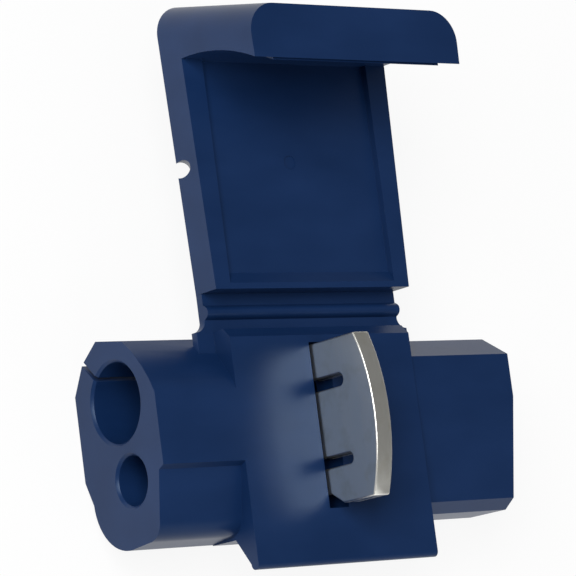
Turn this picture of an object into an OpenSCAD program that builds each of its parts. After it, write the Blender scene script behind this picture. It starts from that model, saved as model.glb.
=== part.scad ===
// Splice tap connector with a fold-over cover, shown open with its contact proud.
// X runs along the wires, +Y points to the hinge, +Z is the side the contact goes in.
// The origin is on the axis of the run channel, halfway along it. Millimetres.

/* [Barrel] */
// Length of the barrel along the wires
barrel_len = 24; // [20:0.5:29]
// Bore of the run channel, which goes right through
run_bore_d = 4.2; // [3.6:0.1:4.8]
// Wall of plastic round the run bore
run_wall = 1.4; // [1.1:0.1:1.8]
// Bore of the tap channel, which is blind
tap_bore_d = 2.6; // [2.1:0.1:3.1]
// Wall of plastic round the tap bore
tap_wall = 1.5; // [1.2:0.1:1.8]
// Distance from the run axis down to the tap axis
channel_pitch = 4.1; // [3.9:0.1:5]
// Rise of the tap axis towards the contact side
tap_rise = 0.6; // [0.3:0.05:0.8]
// Depth left solid at the blind end of the tap channel
tap_stop = 5.4; // [4:0.2:7]
// Step of the lower barrel behind the front plane
low_step = 0.42; // [0.2:0.02:0.8]
// Fall of the lower barrel's front from that step to its bottom corner
low_fall = 0.45; // [0.2:0.05:0.6]
// Width of the slit between the flexing lips that let the run wire in
slit_w = 0.25; // [0.2:0.05:0.6]
// Trim of the nose past the block, at its top and its bottom
nose_trim = 0.9; // [0.5:0.05:1]
// Set-back of the nose's front behind the front plane
nose_drop = 0.2; // [0.1:0.05:0.4]
// Fall of the nose's front from the run channel to its bottom edge
nose_fall = 1.1; // [0.6:0.05:1.4]

/* [Block] */
// Length of the middle block along the wires
block_len = 11.9; // [10:0.1:14]
// Shift of the block and cover towards the wire entry
block_shift = -0.9; // [-1.2:0.1:0]
// Reach of the latch ledge below the tap lobe
ledge_reach = 1.75; // [1.3:0.05:2.2]
// Height of the latch ledge, from its front edge to its root
ledge_h = 1.65; // [1.3:0.05:2]
// Overhang of the block on the hinge side of the run axis
hinge_land_y = 3.2; // [3:0.05:3.4]

/* [Cover] */
// Overlap of the cover past each end of the block, at the hinge
cover_overlap = 0.45; // [0.3:0.05:0.8]
// Spread of each side of the cover from the hinge to its far edge
cover_spread = 0.4; // [0:0.05:0.6]
// Thickness of the cover plate at its rails
cover_t = 1.8; // [1.5:0.05:2.2]
// Depth of the recessed floor between the rails
floor_recess = 0.4; // [0.3:0.05:0.5]
// Width of the side rails
rail_w = 0.95; // [0.7:0.05:1.3]
// Reach of the latch flange above the cover's inner face
flange_reach = 6.1; // [5:0.1:7]
// Thickness of the latch flange at its tip
flange_t = 2.85; // [2.2:0.05:3.3]
// Height of the catch ridge inside the flange
catch_h = 0.15; // [0.1:0.01:0.2]
// Radius of the cover's far corners
corner_r = 1.6; // [1:0.1:2.2]
// Length of the thin flexing strap
strap_len = 2; // [1.8:0.1:2.4]
// Thickness of the flexing strap
strap_t = 0.45; // [0.35:0.05:0.6]

/* [Contact] */
// Thickness of the sheet that the contact is folded from
sheet_t = 0.38; // [0.34:0.01:0.5]
// Gap between the two folded legs
fold_gap = 0.26; // [0.2:0.02:0.4]
// Reach of the contact past each channel axis
contact_reach = 2.2; // [1.8:0.05:2.4]
// Rise of the curved crown between its ends
crown_rise = 0.9; // [0.5:0.05:1.1]
// Width of the slot that grips the run wire
run_slot_w = 0.66; // [0.5:0.02:0.8]
// Width of the slot that grips the tap wire
tap_slot_w = 0.58; // [0.4:0.02:0.7]
// Stroke of the contact from proud to home
stroke = 4.25; // [3.6:0.05:4.4]
// Height of the crown above the front plane when home
home_proud = 0.22; // [0.1:0.02:0.25]
// Shift of the contact towards the wire entry
contact_shift = -1.15; // [-1.4:0.05:-0.6]

/* [Clearances] */
// Gap between the closed cover and the block
closed_gap = 0.1; // [0.05:0.01:0.2]
// Gap between the catch ridge and the ledge it passes
catch_gap = 0.1; // [0.08:0.01:0.2]
// Gap round the contact in its pocket
pocket_gap = 0.12; // [0.08:0.01:0.2]

/* [Hidden] */
$fn = 96;
eps = 0.01;
big = 60;

plastic = [0.09, 0.15, 0.33];
tin = [0.76, 0.76, 0.72];

run_lobe_r = run_bore_d / 2 + run_wall;
tap_lobe_r = tap_bore_d / 2 + tap_wall;
tap_y = -channel_pitch;
front_z = run_lobe_r;
back_z = -run_lobe_r;
low_z = front_z - low_step - low_fall;
lobe_y = tap_y - 0.65;
lobe_z = low_z - tap_lobe_r;
low_corner_r = 1.1;
lobe_bottom_y = lobe_y - tap_lobe_r;
step_y = tap_y + 0.4;
back_flat_y0 = -3.6;
back_flat_y1 = 0.9;
back_corner = [-6.3, -2.35];
nose_top_y = run_lobe_r - nose_trim;
nose_bottom_y = lobe_bottom_y + nose_trim - 0.2;
nose_z = front_z - nose_drop;

block_x0 = block_shift - block_len / 2;
block_x1 = block_shift + block_len / 2;
ledge_y = lobe_bottom_y - ledge_reach;
edge_r = 0.3;
land_chamfer = 0.5;
land_fillet_r = 0.6;

hinge_y = hinge_land_y + 0.7;
hinge_z = front_z + closed_gap / 2;
cover_x0 = block_x0 - cover_overlap;
cover_x1 = block_x1 + cover_overlap;
cover_back_z = front_z - cover_t;
cover_y0 = hinge_land_y + strap_len;
catch_r = norm([hinge_y - ledge_y, hinge_z - front_z]) + catch_gap;
flange_in_r = catch_r + catch_h;
flange_tip_z = front_z + flange_reach;
flange_in_y = hinge_y + sqrt(pow(flange_in_r, 2) - pow(flange_tip_z - hinge_z, 2));
flange_out_y = flange_in_y + flange_t;
cover_y1 = flange_out_y + 1.85;
flange_lean = atan2(cover_y1 - flange_out_y, flange_tip_z - cover_back_z);
floor_y0 = cover_y0 + 0.3;
floor_slope = 0.6;
notch_y = 11.8;
notch_z = cover_back_z + 0.4;
mark_y = 12;
notch_r = 0.45;
notch_slant = 36;
mark_r = 0.38;
mark_h = 0.06;

contact_w = 2 * sheet_t + fold_gap;
contact_x = contact_shift;
contact_y0 = tap_y - contact_reach;
contact_y1 = contact_reach;
crown_z = front_z + home_proud + stroke;
crown_half = (contact_y1 - contact_y0) / 2;
crown_r = (pow(crown_half, 2) + pow(crown_rise, 2)) / (2 * crown_rise);
crown_y = (contact_y0 + contact_y1) / 2;
shoulder = 0.6;
shoulder_z = front_z + 1.05;
leg_bottom_z = front_z - 1.25;
leg_lead = 0.8;
slot_top_z = front_z + 2.25;
slot_mouth = 0.35;
lead_gap = pocket_gap / 2;

// A flat outline in Y and Z, drawn out along X between two stations
module along_x(x0, x1) {
    translate([x0, 0, 0])
        rotate([90, 0, 90])
            linear_extrude(height = x1 - x0)
                children();
}

// Point on the run lobe's rim, at an angle from +Y towards +Z
function rim(angle, share) = run_lobe_r * share * [cos(angle), sin(angle)];

// Section of the barrel: a large run lobe, flatter towards its front, over a
// lower tap lobe that is stepped back, on a flat back
module barrel_section() {
    corner_y = lobe_bottom_y + low_corner_r + 0.15;
    translate([lobe_y, lobe_z])
        circle(r = tap_lobe_r);
    translate([corner_y, low_z - low_corner_r])
        circle(r = low_corner_r);
    polygon([
        rim(-46, 1),
        rim(-18, 1.02),
        rim(21, 0.92),
        rim(39, 0.87),
        rim(61, 0.87),
        rim(78, 0.93),
        [0, front_z],
        [step_y, front_z],
        [step_y - 0.2, front_z - low_step],
        [corner_y, low_z],
        [lobe_bottom_y + 0.15, low_z - low_corner_r],
        [lobe_bottom_y, lobe_z],
        back_corner,
        [back_flat_y0, back_z],
        [back_flat_y1, back_z]
    ]);
}

// Section of the slimmer nose past the block, with a sloped front
module nose_section() {
    polygon([
        [nose_top_y, -1.6],
        [nose_top_y, 1.4],
        [nose_top_y - 1.15, nose_z],
        [-0.9, nose_z],
        [nose_bottom_y + 0.55, nose_z - nose_fall],
        [nose_bottom_y, nose_z - nose_fall - 0.8],
        [nose_bottom_y, -1.6],
        [nose_bottom_y + 0.8, -2.3],
        [back_flat_y0, back_z],
        [back_flat_y1, back_z]
    ]);
}

// Section of the middle block, with the undercut ledge that the cover's flange passes
module block_section() {
    translate([ledge_y + edge_r, front_z - edge_r])
        circle(r = edge_r);
    polygon([
        [ledge_y + edge_r, front_z],
        [ledge_y, front_z - edge_r],
        [ledge_y + 0.05, front_z - edge_r - 0.1],
        [lobe_bottom_y - 0.05, front_z - ledge_h],
        [lobe_bottom_y - 0.05, lobe_z],
        [lobe_y, lobe_z],
        [0, 0],
        [hinge_land_y - 0.2, cover_back_z - 0.2],
        [hinge_land_y, cover_back_z],
        [hinge_land_y, front_z - land_chamfer],
        [hinge_land_y - land_chamfer, front_z]
    ]);
}

// Land that carries the strap, as wide as the cover, with filleted ends
module hinge_land() {
    root_y = 1.8;
    translate([cover_x0, root_y, cover_back_z])
        cube([cover_x1 - cover_x0, hinge_land_y - root_y, strap_t]);
    for (side = [-1, 1])
        translate([side < 0 ? cover_x0 : cover_x1, 0, cover_back_z])
            difference() {
                translate([side < 0 ? -land_fillet_r : 0, root_y, 0])
                    cube([land_fillet_r, hinge_land_y + land_fillet_r - root_y, strap_t]);
                translate([side * land_fillet_r, hinge_land_y + land_fillet_r, -1])
                    cylinder(r = land_fillet_r, h = strap_t + 2);
            }
}

// Outline of the contact in Y and Z, when it stands proud
module contact_outline() {
    intersection() {
        translate([crown_y, crown_z - crown_r])
            circle(r = crown_r, $fn = 240);
        polygon([
            [contact_y0, crown_z + 1],
            [contact_y0, shoulder_z],
            [contact_y0 + shoulder, shoulder_z - 1],
            [contact_y0 + shoulder, leg_bottom_z + leg_lead],
            [contact_y0 + shoulder + leg_lead, leg_bottom_z],
            [contact_y1 - leg_lead, leg_bottom_z],
            [contact_y1, leg_bottom_z + leg_lead],
            [contact_y1, crown_z + 1]
        ]);
    }
}

// A slot that cuts through the wire's insulation, open at the leg's end with a flared mouth
module grip_slot(y, w) {
    translate([y, slot_top_z - w / 2])
        circle(d = w);
    translate([y - w / 2, leg_bottom_z - 1])
        square([w, slot_top_z - w / 2 - leg_bottom_z + 1]);
    polygon([
        [y - w / 2 - slot_mouth, leg_bottom_z - eps],
        [y - w / 2, leg_bottom_z + 2 * slot_mouth],
        [y + w / 2, leg_bottom_z + 2 * slot_mouth],
        [y + w / 2 + slot_mouth, leg_bottom_z - eps]
    ]);
}

// Pocket in Y and Z that holds the contact when home
module pocket_outline() {
    polygon([
        [contact_y0 - pocket_gap, front_z + 1],
        [contact_y0 - pocket_gap, shoulder_z - stroke - pocket_gap],
        [contact_y0 + shoulder - pocket_gap, shoulder_z - 1 - stroke - pocket_gap],
        [contact_y0 + shoulder - pocket_gap, leg_bottom_z + leg_lead - stroke - lead_gap],
        [contact_y0 + shoulder + leg_lead - lead_gap, leg_bottom_z - stroke - pocket_gap],
        [contact_y1 - leg_lead + lead_gap, leg_bottom_z - stroke - pocket_gap],
        [contact_y1 + pocket_gap, leg_bottom_z + leg_lead - stroke - lead_gap],
        [contact_y1 + pocket_gap, front_z + 1]
    ]);
}

// Round channel along X with a small lead-in at each open mouth
module channel(y, z, d, x0, x1, lead0, lead1) {
    lead = 0.15;
    translate([x0, y, z])
        rotate([0, 90, 0])
            cylinder(d = d, h = x1 - x0);
    if (lead0)
        translate([x0 - eps, y, z])
            rotate([0, 90, 0])
                cylinder(d1 = d + 2 * lead, d2 = d, h = lead);
    if (lead1)
        translate([x1 - lead + eps, y, z])
            rotate([0, 90, 0])
                cylinder(d1 = d, d2 = d + 2 * lead, h = lead);
}

// Moulded base: barrel, block, ledge, channels and the contact's pocket
module base() {
    color(plastic)
    difference() {
        union() {
            along_x(-barrel_len / 2, block_x1)
                barrel_section();
            along_x(block_x1 - 1, barrel_len / 2)
                nose_section();
            along_x(block_x0, block_x1)
                block_section();
            hinge_land();
        }
        channel(0, 0, run_bore_d, -barrel_len / 2, barrel_len / 2, true, true);
        channel(tap_y, tap_rise, tap_bore_d, -barrel_len / 2, barrel_len / 2 - tap_stop, true, false);
        // slit from the run bore out to the back corner on the hinge side
        rotate([-45, 0, 0])
            translate([-big / 2, 0, -slit_w / 2])
                cube([big, run_lobe_r + 1, slit_w]);
        along_x(contact_x - contact_w / 2 - pocket_gap, contact_x + contact_w / 2 + pocket_gap)
            pocket_outline();
    }
}

// Thin strap that flexes when the cover folds, with a bead across its middle
module hinge_strap() {
    bead_r = 0.35;
    color(plastic)
    along_x(cover_x0, cover_x1) {
        translate([hinge_land_y, cover_back_z])
            square([strap_len, strap_t]);
        intersection() {
            translate([hinge_land_y + strap_len / 2, cover_back_z + strap_t])
                circle(r = bead_r, $fn = 48);
            translate([hinge_land_y, cover_back_z])
                square([strap_len, 2 * strap_t + bead_r]);
        }
    }
}

// Block with rounded far corners and spread sides, which leans with the flange's
// outer face
module cover_envelope() {
    reach = 12;
    len = cover_y1 - cover_y0;
    far_x0 = cover_x0 - cover_spread;
    far_x1 = cover_x1 + cover_spread;
    translate([0, cover_y1, cover_back_z])
        rotate([flange_lean, 0, 0])
            translate([0, 0, -reach])
                linear_extrude(height = 3 * reach) {
                    polygon([
                        [far_x0, -corner_r],
                        [cover_x0, -len],
                        [cover_x0 + cover_spread, -2 * len],
                        [cover_x1 - cover_spread, -2 * len],
                        [cover_x1, -len],
                        [far_x1, -corner_r],
                        [far_x1 - corner_r, 0],
                        [far_x0 + corner_r, 0]
                    ]);
                    for (x = [far_x0 + corner_r, far_x1 - corner_r])
                        translate([x, -corner_r])
                            circle(r = corner_r);
                }
}

// Section of the latch flange, swept clear of the ledge by an arc about the hinge
module flange_section() {
    difference() {
        polygon([
            [flange_in_y - 1, cover_back_z],
            [cover_y1, cover_back_z],
            [flange_out_y, flange_tip_z],
            [flange_in_y - 1, flange_tip_z]
        ]);
        translate([hinge_y, hinge_z])
            circle(r = flange_in_r, $fn = 360);
    }
}

// Catch ridge near the tip of the flange
module catch_section() {
    intersection() {
        difference() {
            translate([hinge_y, hinge_z])
                circle(r = flange_in_r + 0.3, $fn = 360);
            translate([hinge_y, hinge_z])
                circle(r = catch_r, $fn = 360);
        }
        translate([flange_in_y - 1, flange_tip_z - 1.1])
            square([3, 0.9]);
    }
}

// Moulded cover: plate with side rails, recessed floor, edge notch and latch flange
module cover() {
    color(plastic)
    difference() {
        intersection() {
            union() {
                translate([cover_x0 - 1, cover_y0, cover_back_z])
                    cube([cover_x1 - cover_x0 + 2, hinge_y + flange_in_r + 1 - cover_y0, cover_t]);
                along_x(cover_x0 - 1, cover_x1 + 1)
                    flange_section();
                along_x(cover_x0 + rail_w, cover_x1 - rail_w)
                    catch_section();
            }
            cover_envelope();
        }
        // recessed floor with a sloped end towards the hinge
        intersection() {
            along_x(cover_x0 + rail_w, cover_x1 - rail_w)
                polygon([
                    [floor_y0, front_z + eps],
                    [floor_y0 + floor_slope, front_z - floor_recess],
                    [flange_in_y + 3, front_z - floor_recess],
                    [flange_in_y + 3, front_z + eps]
                ]);
            translate([cover_x0, hinge_y, hinge_z])
                rotate([0, 90, 0])
                    cylinder(r = flange_in_r, h = big, $fn = 360);
        }
        // slanted notch in the back edge of one side
        translate([cover_x0 - cover_spread / 2, notch_y, notch_z])
            rotate([0, 180 - notch_slant, 0])
                translate([0, 0, -2])
                    cylinder(r = notch_r, h = 4, $fn = 48);
        // shallow round mark left by the mould pin
        translate([contact_x, mark_y, front_z - floor_recess - mark_h])
            cylinder(r = mark_r, h = 1, $fn = 48);
    }
}

// Folded contact: two slotted legs joined by a curved crown
module contact() {
    color(tin)
    difference() {
        along_x(contact_x - contact_w / 2, contact_x + contact_w / 2)
            difference() {
                contact_outline();
                grip_slot(0, run_slot_w);
                grip_slot(tap_y, tap_slot_w);
            }
        along_x(contact_x - fold_gap / 2, contact_x + fold_gap / 2)
            intersection() {
                translate([crown_y, crown_z - crown_r])
                    circle(r = crown_r - sheet_t, $fn = 240);
                translate([contact_y0 - 1, leg_bottom_z - 1])
                    square([2 * crown_half + 2, crown_z - leg_bottom_z + 1]);
            }
    }
}

base();
hinge_strap();
cover();
contact();
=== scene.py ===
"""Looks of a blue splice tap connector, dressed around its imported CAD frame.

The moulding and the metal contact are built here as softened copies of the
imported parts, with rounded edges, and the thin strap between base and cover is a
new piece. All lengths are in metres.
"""

import logging
import math
from dataclasses import dataclass, field
from enum import Enum

import bpy
from mathutils import Matrix, Vector


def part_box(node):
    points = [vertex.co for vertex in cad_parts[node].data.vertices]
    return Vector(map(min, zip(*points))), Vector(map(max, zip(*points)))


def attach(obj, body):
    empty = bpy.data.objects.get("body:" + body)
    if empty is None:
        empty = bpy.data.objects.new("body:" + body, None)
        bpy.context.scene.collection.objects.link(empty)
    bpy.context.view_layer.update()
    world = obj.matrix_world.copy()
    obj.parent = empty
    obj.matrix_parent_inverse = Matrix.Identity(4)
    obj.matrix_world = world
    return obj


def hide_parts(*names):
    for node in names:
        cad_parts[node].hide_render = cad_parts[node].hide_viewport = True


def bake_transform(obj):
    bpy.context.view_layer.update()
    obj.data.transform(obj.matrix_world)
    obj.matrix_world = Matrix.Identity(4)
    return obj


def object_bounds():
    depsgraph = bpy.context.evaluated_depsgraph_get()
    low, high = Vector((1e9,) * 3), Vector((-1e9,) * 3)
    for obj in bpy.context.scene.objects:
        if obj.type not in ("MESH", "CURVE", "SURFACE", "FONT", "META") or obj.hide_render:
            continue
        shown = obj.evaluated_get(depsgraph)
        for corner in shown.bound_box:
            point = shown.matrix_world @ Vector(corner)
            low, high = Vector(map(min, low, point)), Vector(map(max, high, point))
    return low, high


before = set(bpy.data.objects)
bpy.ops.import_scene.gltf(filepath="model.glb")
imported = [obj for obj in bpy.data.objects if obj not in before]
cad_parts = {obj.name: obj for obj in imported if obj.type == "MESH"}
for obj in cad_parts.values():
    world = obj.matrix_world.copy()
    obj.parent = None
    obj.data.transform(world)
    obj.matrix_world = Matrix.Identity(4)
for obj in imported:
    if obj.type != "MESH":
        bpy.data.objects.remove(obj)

LOG = logging.getLogger("splice_tap")
CAD_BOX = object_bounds()
MM = 0.001


class Slot(Enum):
    """Material slots of the record."""

    PLASTIC = "blue_plastic"
    TIN = "tinned_brass"


class Ray(Enum):
    """Rays that see the floor as plain white, by their Light Path output."""

    CAMERA = "Is Camera Ray"
    GLOSSY = "Is Glossy Ray"
    TRANSMISSION = "Is Transmission Ray"


class Sock:
    """A shader value, so that node maths can be written as Python maths."""

    def __init__(self, tree: "Shader", socket: object) -> None:
        """Wraps one output socket of a shader tree."""
        self.tree = tree
        self.socket = socket

    def _math(self, operation: str, a: object, b: object) -> "Sock":
        """Adds one Math node.

        Args:
            operation: The Math node's operation.
            a: First value, a number or a Sock.
            b: Second value, a number or a Sock.

        Returns:
            The node's result.
        """
        return self.tree.add("ShaderNodeMath", {"operation": operation}, {0: a, 1: b})

    def __add__(self, other: object) -> "Sock":
        """Returns self + other."""
        return self._math("ADD", self, other)

    __radd__ = __add__

    def __sub__(self, other: object) -> "Sock":
        """Returns self - other."""
        return self._math("SUBTRACT", self, other)

    def __rsub__(self, other: object) -> "Sock":
        """Returns other - self."""
        return self._math("SUBTRACT", other, self)

    def __mul__(self, other: object) -> "Sock":
        """Returns self * other."""
        return self._math("MULTIPLY", self, other)

    __rmul__ = __mul__

    def clamped(self, low: float, high: float) -> "Sock":
        """Maps low..high onto 0..1, with the ends held.

        Args:
            low: Value that becomes 0.
            high: Value that becomes 1.

        Returns:
            The mapped value.
        """
        settings = {"clamp": True}
        values = {"Value": self, "From Min": low, "From Max": high}
        return self.tree.add("ShaderNodeMapRange", settings, values)


class Shader:
    """A material under construction, around its Principled shader."""

    def __init__(self, name: str) -> None:
        """Makes the material and keeps its Principled node.

        Args:
            name: The material's name.
        """
        self.material = bpy.data.materials.new(name)
        self.material.use_nodes = True
        self.nodes = self.material.node_tree.nodes
        self.links = self.material.node_tree.links
        self.principled = self.nodes["Principled BSDF"]
        self.output = self.nodes["Material Output"]

    def add(self, kind: str, settings: dict, values: dict, out: object = 0) -> Sock:
        """Adds one node: its settings first, then its sockets.

        Args:
            kind: The node's type.
            settings: Attributes of the node.
            values: Socket name or index to a number, a colour or a Sock.
            out: Name or index of the output wanted.

        Returns:
            The wanted output.
        """
        node = self.nodes.new(kind)
        for key, value in settings.items():
            setattr(node, key, value)
        for key, value in values.items():
            self.feed(node.inputs[key], value)
        return Sock(self, node.outputs[out])

    def feed(self, socket: object, value: object) -> None:
        """Links a Sock to a socket, or sets the socket's own value."""
        if isinstance(value, Sock):
            self.links.new(value.socket, socket)
        else:
            socket.default_value = value

    def set(self, name: str, value: object) -> None:
        """Sets or links one socket of the Principled shader."""
        self.feed(self.principled.inputs[name], value)

    def place(self, stretch: tuple = (1.0, 1.0, 1.0)) -> Sock:
        """Returns Object coordinates in millimetres, stretched per axis.

        Args:
            stretch: Scale along X, Y and Z.

        Returns:
            The mapped coordinates.
        """
        here = self.add("ShaderNodeTexCoord", {}, {}, "Object")
        scale = tuple(s / MM for s in stretch)
        return self.add("ShaderNodeMapping", {}, {"Vector": here, "Scale": scale})

    def noise(self, place: Sock, scale: float, detail: float) -> Sock:
        """Adds a noise pattern.

        Args:
            place: Coordinates, in millimetres.
            scale: Cycles per millimetre.
            detail: Octaves.

        Returns:
            The noise, about 0 to 1.
        """
        values = {"Vector": place, "Scale": scale, "Detail": detail, "Roughness": 0.55}
        return self.add("ShaderNodeTexNoise", {}, values, "Fac")

    def blend(self, mask: Sock, first: object, second: object) -> Sock:
        """Mixes two colours by a mask.

        Args:
            mask: 0 gives the first colour and 1 the second.
            first: A colour or a Sock.
            second: A colour or a Sock.

        Returns:
            The mixed colour.
        """
        settings = {"data_type": "RGBA"}
        return self.add("ShaderNodeMix", settings, {0: mask, 6: first, 7: second}, 2)

    def bump(self, height: Sock, distance: float, strength: float) -> None:
        """Feeds a height pattern to the shader's normal.

        Args:
            height: Pattern, about 0 to 1.
            distance: Height of the pattern's 1, in metres.
            strength: Strength of the effect, 0 to 1.
        """
        values = {"Height": height, "Distance": distance, "Strength": strength}
        self.set("Normal", self.add("ShaderNodeBump", {}, values))


@dataclass(frozen=True)
class MouldedPlastic:
    """Navy polypropylene from a polished tool, with faint flow marks."""

    name: str = "navy_polypropylene"
    deep: tuple = (0.004, 0.018, 0.068, 1.0)
    pale: tuple = (0.007, 0.025, 0.088, 1.0)
    rough_low: float = 0.30
    rough_span: float = 0.12
    refraction: float = 1.49
    gloss: float = 0.30
    sheen: tuple = (0.6, 0.78, 1.0, 1.0)
    flow_stretch: tuple = (0.35, 1.0, 1.0)
    flow_per_mm: float = 0.35
    cloud_per_mm: float = 0.16
    grain_per_mm: float = 9.0
    grain_height: float = 0.006 * MM

    def make(self) -> bpy.types.Material:
        """Builds the finish.

        Returns:
            The material.
        """
        shader = Shader(self.name)
        place = shader.place()
        flow = shader.noise(shader.place(self.flow_stretch), self.flow_per_mm, 3.0)
        cloud = shader.noise(place, self.cloud_per_mm, 2.0)
        grain = shader.noise(place, self.grain_per_mm, 4.0)
        mask = (flow * 0.6 + cloud * 0.4).clamped(0.35, 0.65)
        shader.set("Base Color", shader.blend(mask, self.deep, self.pale))
        patchy = grain * 0.5 + cloud * 0.5
        shader.set("Roughness", patchy * self.rough_span + self.rough_low)
        shader.set("IOR", self.refraction)
        shader.set("Specular IOR Level", self.gloss)
        shader.set("Specular Tint", self.sheen)
        shader.bump(grain * 0.5 + flow * 0.5, self.grain_height, 0.5)
        return shader.material


@dataclass(frozen=True)
class TinPlate:
    """Tin-plated brass strip with rolling lines and faint warm stain."""

    name: str = "tin_plate"
    clean: tuple = (0.82, 0.815, 0.77, 1.0)
    stained: tuple = (0.68, 0.66, 0.56, 1.0)
    rough_low: float = 0.26
    rough_span: float = 0.16
    roll_stretch: tuple = (7.0, 0.5, 7.0)
    roll_per_mm: float = 1.0
    roll_height: float = 0.004 * MM
    cloud_per_mm: float = 0.7

    def make(self) -> bpy.types.Material:
        """Builds the finish.

        Returns:
            The material.
        """
        shader = Shader(self.name)
        lines = shader.noise(shader.place(self.roll_stretch), self.roll_per_mm, 5.0)
        cloud = shader.noise(shader.place(), self.cloud_per_mm, 3.0)
        mask = cloud.clamped(0.52, 0.72) * 0.6 + lines * 0.2
        shader.set("Base Color", shader.blend(mask, self.clean, self.stained))
        shader.set("Metallic", 1.0)
        shader.set("Roughness", lines * self.rough_span + self.rough_low)
        shader.bump(lines, self.roll_height, 0.5)
        return shader.material


@dataclass(frozen=True)
class PaleFloor:
    """Plain pale floor that is seen as white, and that keeps a faint shadow."""

    name: str = "pale_floor"
    colour: tuple = (0.86, 0.86, 0.86, 1.0)
    white: tuple = (1.0, 1.0, 1.0, 1.0)
    glow: float = 0.9

    def make(self) -> bpy.types.Material:
        """Builds the finish.

        Returns:
            The material.
        """
        shader = Shader(self.name)
        shader.set("Base Color", self.colour)
        shader.set("Roughness", 0.9)
        rays = [shader.add("ShaderNodeLightPath", {}, {}, ray.value) for ray in Ray]
        seen = (rays[0] + rays[1] + rays[2]).clamped(0.0, 1.0)
        glow = shader.add("ShaderNodeEmission", {}, {"Color": self.white, "Strength": 1.0})
        body = Sock(shader, shader.principled.outputs[0])
        mix = shader.add("ShaderNodeMixShader", {}, {0: seen * self.glow, 1: body, 2: glow})
        shader.feed(shader.output.inputs["Surface"], mix)
        return shader.material


class Bench:
    """Modelling steps shared by the pieces, all with Blender's own operators."""

    WELD = 0.0005 * MM
    FLAT_DEG = 0.6
    SMOOTH_DEG = 32.0

    @staticmethod
    def only(piece: bpy.types.Object) -> None:
        """Makes one object the only selected and active one."""
        bpy.ops.object.select_all(action="DESELECT")
        piece.select_set(True)
        bpy.context.view_layer.objects.active = piece

    @classmethod
    def apply_all(cls, piece: bpy.types.Object) -> None:
        """Applies every modifier of a piece."""
        cls.only(piece)
        for modifier in list(piece.modifiers):
            bpy.ops.object.modifier_apply(modifier=modifier.name)

    @classmethod
    def softened(
        cls, node: str, name: str, width: float, segments: int, angle: float,
    ) -> bpy.types.Object:
        """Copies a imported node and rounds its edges.

        Args:
            node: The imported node's name.
            name: Name of the new piece.
            width: Width of the rounding, in metres.
            segments: Facets across the rounding.
            angle: Edges sharper than this, in degrees, are rounded.

        Returns:
            The new piece.
        """
        cls.only(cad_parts[node])
        bpy.ops.object.duplicate()
        piece = bpy.context.view_layer.objects.active
        piece.name = name
        piece.data.name = name
        cls.only(piece)
        bpy.ops.object.mode_set(mode="EDIT")
        bpy.ops.mesh.select_all(action="SELECT")
        bpy.ops.mesh.remove_doubles(threshold=cls.WELD)
        bpy.ops.mesh.customdata_custom_splitnormals_clear()
        bpy.ops.mesh.dissolve_limited(angle_limit=math.radians(cls.FLAT_DEG))
        bpy.ops.mesh.normals_make_consistent(inside=False)
        bpy.ops.object.mode_set(mode="OBJECT")
        bevel = piece.modifiers.new("edges", "BEVEL")
        bevel.width = width
        bevel.segments = segments
        bevel.limit_method = "ANGLE"
        bevel.angle_limit = math.radians(angle)
        bevel.use_clamp_overlap = True
        bevel.miter_outer = "MITER_ARC"
        cls.apply_all(piece)
        cls.even_normals(piece)
        return piece

    @classmethod
    def even_normals(cls, piece: bpy.types.Object) -> None:
        """Shades a piece smooth, but keeps its large flat faces flat."""
        cls.only(piece)
        bpy.ops.object.shade_smooth_by_angle(angle=math.radians(cls.SMOOTH_DEG))
        weighted = piece.modifiers.new("even_normals", "WEIGHTED_NORMAL")
        weighted.mode = "FACE_AREA"
        weighted.weight = 50
        weighted.keep_sharp = True
        cls.apply_all(piece)

    @staticmethod
    def dress(piece: bpy.types.Object, finish: bpy.types.Material, slot: Slot) -> None:
        """Gives a piece its finish."""
        piece.data.materials.clear()
        piece.data.materials.append(finish)


@dataclass
class Moulding:
    """The rigid plastic: base and cover, copied from the frame with soft edges."""

    edge: float = 0.13 * MM
    segments: int = 3
    sharp: float = 30.0
    finish: MouldedPlastic = field(default_factory=MouldedPlastic)

    def build(self, plastic: bpy.types.Material) -> None:
        """Builds and dresses both mouldings.

        Args:
            plastic: The navy plastic.
        """
        for node in ("base", "cover"):
            name = node + "_moulding"
            piece = Bench.softened(node, name, self.edge, self.segments, self.sharp)
            Bench.dress(piece, plastic, Slot.PLASTIC)
            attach(piece, node)
            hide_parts(node)
            LOG.info("%s: %d faces", piece.name, len(piece.data.polygons))


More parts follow.
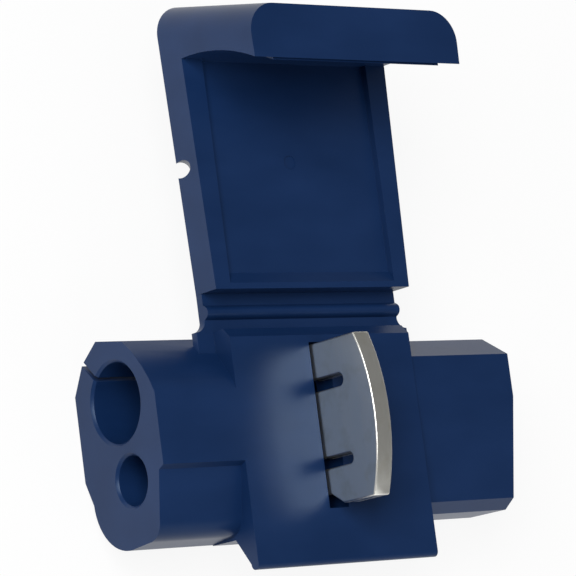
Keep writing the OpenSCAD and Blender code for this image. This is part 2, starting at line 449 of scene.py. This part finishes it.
@dataclass
class HingeStrap:
    """The thin strap between base and cover."""

    columns: int = 24
    rows: int = 30
    bead_rise: float = 0.35 * MM
    bead_half: float = 0.34 * MM
    overlap: float = 0.14 * MM
    lift: float = 0.012 * MM
    thickness: float = 0.45 * MM
    smooth_deg: float = 40.0

    def build(self, plastic: bpy.types.Material) -> bpy.types.Object:
        """Builds the strap from a grid, its bead raised and its underside flat.

        Args:
            plastic: The navy plastic.

        Returns:
            The strap.
        """
        low, high = (Vector(v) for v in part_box("hinge_strap"))
        middle = (low + high) / 2
        span_y = high.y - low.y + 2 * self.overlap
        top_z = low.z + self.thickness + self.lift
        under_z = low.z - self.lift
        bpy.ops.object.select_all(action="DESELECT")
        bpy.ops.mesh.primitive_grid_add(
            x_subdivisions=self.columns, y_subdivisions=self.rows, size=1,
            location=(middle.x, middle.y, top_z),
        )
        strap = bpy.context.view_layer.objects.active
        strap.name = "hinge_strap_flexing"
        strap.scale = (high.x - low.x, span_y, 1.0)
        bpy.ops.object.transform_apply(location=True, rotation=True, scale=True)
        for vertex in strap.data.vertices:
            off = abs(vertex.co.y - middle.y)
            if off < self.bead_half:
                vertex.co.z += self.bead_rise * math.sqrt(1 - (off / self.bead_half) ** 2)
        Bench.only(strap)
        bpy.ops.object.mode_set(mode="EDIT")
        bpy.ops.mesh.select_all(action="SELECT")
        down = {"value": (0, 0, -self.thickness)}
        bpy.ops.mesh.extrude_region_move(TRANSFORM_OT_translate=down)
        under = (middle.x, middle.y, under_z)
        bpy.ops.transform.resize(value=(1, 1, 0), center_override=under)
        bpy.ops.mesh.select_all(action="SELECT")
        bpy.ops.mesh.normals_make_consistent(inside=False)
        bpy.ops.object.mode_set(mode="OBJECT")
        bpy.ops.object.shade_smooth_by_angle(angle=math.radians(self.smooth_deg))
        Bench.dress(strap, plastic, Slot.PLASTIC)
        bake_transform(strap)
        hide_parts("hinge_strap")
        LOG.info("hinge strap: %d faces", len(strap.data.polygons))
        return strap


@dataclass
class Contact:
    """The folded contact, copied from the frame with its folded edges rounded."""

    edge: float = 0.13 * MM
    segments: int = 4
    sharp: float = 35.0

    def build(self, tin: bpy.types.Material) -> bpy.types.Object:
        """Builds and dresses the contact.

        Args:
            tin: The plated finish.

        Returns:
            The contact.
        """
        piece = Bench.softened("contact", "contact_blade", self.edge, self.segments, self.sharp)
        Bench.dress(piece, tin, Slot.TIN)
        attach(piece, "contact")
        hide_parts("contact")
        LOG.info("contact: %d faces", len(piece.data.polygons))
        return piece


@dataclass(frozen=True)
class Lamp:
    """One soft square lamp: its place and side in metres, its power in watts."""

    name: str
    at: tuple
    size: float
    power: float

    def light(self) -> None:
        """Adds the lamp, facing the connector."""
        data = bpy.data.lights.new(self.name, "AREA")
        data.size = self.size
        data.energy = self.power
        lamp = bpy.data.objects.new(self.name, data)
        bpy.context.collection.objects.link(lamp)
        lamp.location = self.at
        lamp.rotation_euler = (-Vector(self.at)).to_track_quat("-Z", "Y").to_euler()


@dataclass
class Studio:
    """Floor, soft lights, world and the camera at the photo's angle."""

    camera_at: tuple = (-0.11591, -0.02243, 0.14689)
    look: tuple = (0.6128, 0.1495, -0.7759)
    roll_deg: float = 71.85
    focal_px: float = 3551.0
    frame_px: float = 576.0
    sensor_mm: float = 36.0
    floor_size: float = 1.2
    floor_gap: float = 0.02 * MM
    world_colour: tuple = (1.0, 1.0, 1.0, 1.0)
    world_strength: float = 0.2
    lamps: tuple = (
        Lamp("key_lamp", (-0.19, 0.06, 0.22), 0.17, 0.9),
        Lamp("low_lamp", (0.04, -0.26, 0.14), 0.30, 0.35),
    )

    def camera(self) -> None:
        """Sets the camera by its place, its line of sight and its roll."""
        data = bpy.data.cameras.new("photo_camera")
        data.sensor_width = self.sensor_mm
        data.lens = self.focal_px * self.sensor_mm / self.frame_px
        data.clip_start = 0.01
        data.clip_end = 10.0
        camera = bpy.data.objects.new("photo_camera", data)
        bpy.context.collection.objects.link(camera)
        aim = Vector(self.look).to_track_quat("-Z", "Y").to_matrix().to_4x4()
        roll = Matrix.Rotation(math.radians(self.roll_deg), 4, "Z")
        camera.matrix_world = Matrix.Translation(self.camera_at) @ aim @ roll
        bpy.context.scene.camera = camera

    def floor(self) -> None:
        """Lays the pale floor just under the connector's back."""
        level = CAD_BOX[0][2] - self.floor_gap
        bpy.ops.object.select_all(action="DESELECT")
        bpy.ops.mesh.primitive_plane_add(size=self.floor_size, location=(0, 0, level))
        floor = bpy.context.view_layer.objects.active
        floor.name = "floor"
        bpy.ops.object.transform_apply(location=True, rotation=True, scale=True)
        floor.data.materials.append(PaleFloor().make())

    def world(self) -> None:
        """Gives the world its even pale light."""
        world = bpy.data.worlds.new("studio")
        world.use_nodes = True
        background = world.node_tree.nodes["Background"]
        background.inputs["Color"].default_value = self.world_colour
        background.inputs["Strength"].default_value = self.world_strength
        bpy.context.scene.world = world

    def build(self) -> None:
        """Builds the whole studio."""
        bpy.context.scene.view_settings.view_transform = "Standard"
        self.world()
        self.floor()
        self.camera()
        for lamp in self.lamps:
            lamp.light()
        LOG.info("studio ready")


def main() -> None:
    """Builds the studio and every piece of the connector."""
    logging.basicConfig(level=logging.INFO, format="%(name)s %(message)s")
    Studio().build()
    plastic = MouldedPlastic().make()
    Moulding().build(plastic)
    HingeStrap().build(plastic)
    Contact().build(TinPlate().make())


if __name__ == "__main__":
    main()
